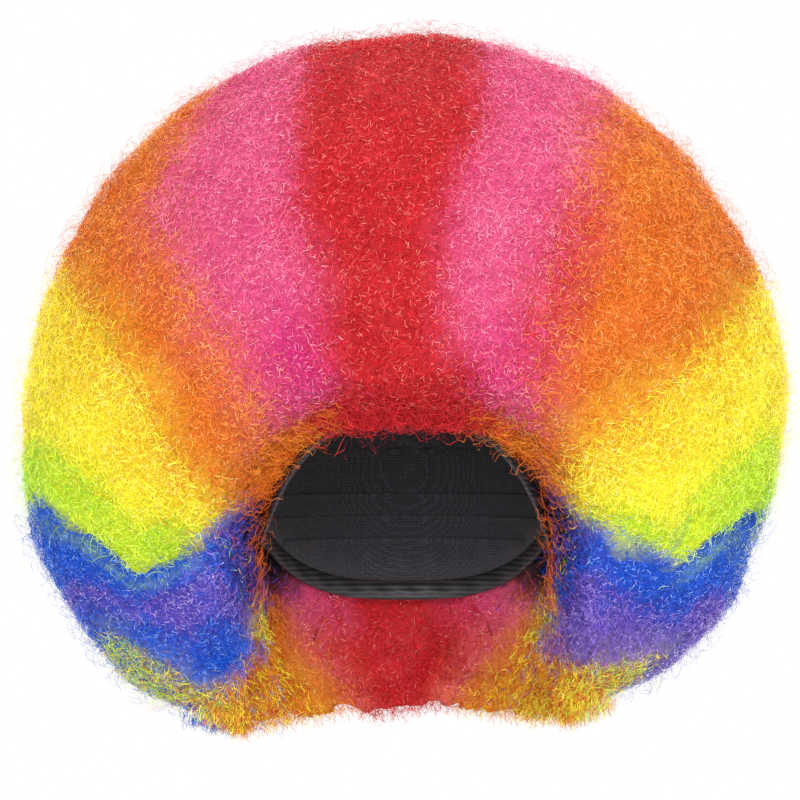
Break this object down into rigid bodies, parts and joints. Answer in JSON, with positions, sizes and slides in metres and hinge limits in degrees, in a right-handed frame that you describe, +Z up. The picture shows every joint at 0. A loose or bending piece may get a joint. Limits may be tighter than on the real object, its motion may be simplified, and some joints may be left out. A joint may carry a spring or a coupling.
{
  "type": "afro wig",
  "caption": "Jumbo round afro wig: crimped synthetic hair in rainbow strips sewn to a stretch cap with an elastic edge, open at the face and neck.",
  "frame": {"origin": "inside of the cap at the crown, where the top of the head rests", "axes": "+Z up out of the crown, -Y towards the face, +X to the right of someone who looks at the face"},
  "size_m": [0.4058, 0.3315, 0.365],
  "materials": {
    "cap_net": "knitted stretch net with rows of weft",
    "elastic": "woven elastic",
    "fibre_red": "crimped glossy synthetic hair",
    "fibre_pink": "crimped glossy synthetic hair",
    "fibre_orange": "crimped glossy synthetic hair",
    "fibre_yellow": "crimped glossy synthetic hair",
    "fibre_green": "crimped glossy synthetic hair",
    "fibre_blue": "crimped glossy synthetic hair",
    "fibre_purple": "crimped glossy synthetic hair"
  },
  "bodies": {
    "root": {"wig_cap": "cap_net", "edge_elastic": "elastic", "hair_red": "fibre_red", "hair_pink_left": "fibre_pink", "hair_pink_right": "fibre_pink", "hair_orange_left": "fibre_orange", "hair_orange_right": "fibre_orange", "hair_yellow_left": "fibre_yellow", "hair_yellow_right": "fibre_yellow", "hair_green_left": "fibre_green", "hair_green_right": "fibre_green", "hair_blue_left": "fibre_blue", "hair_blue_right": "fibre_blue", "hair_purple_left": "fibre_purple", "hair_purple_right": "fibre_purple", "hair_low_blue_left": "fibre_blue", "hair_low_green_right": "fibre_green", "hair_low_green_left": "fibre_green"}
  },
  "joints": []
}
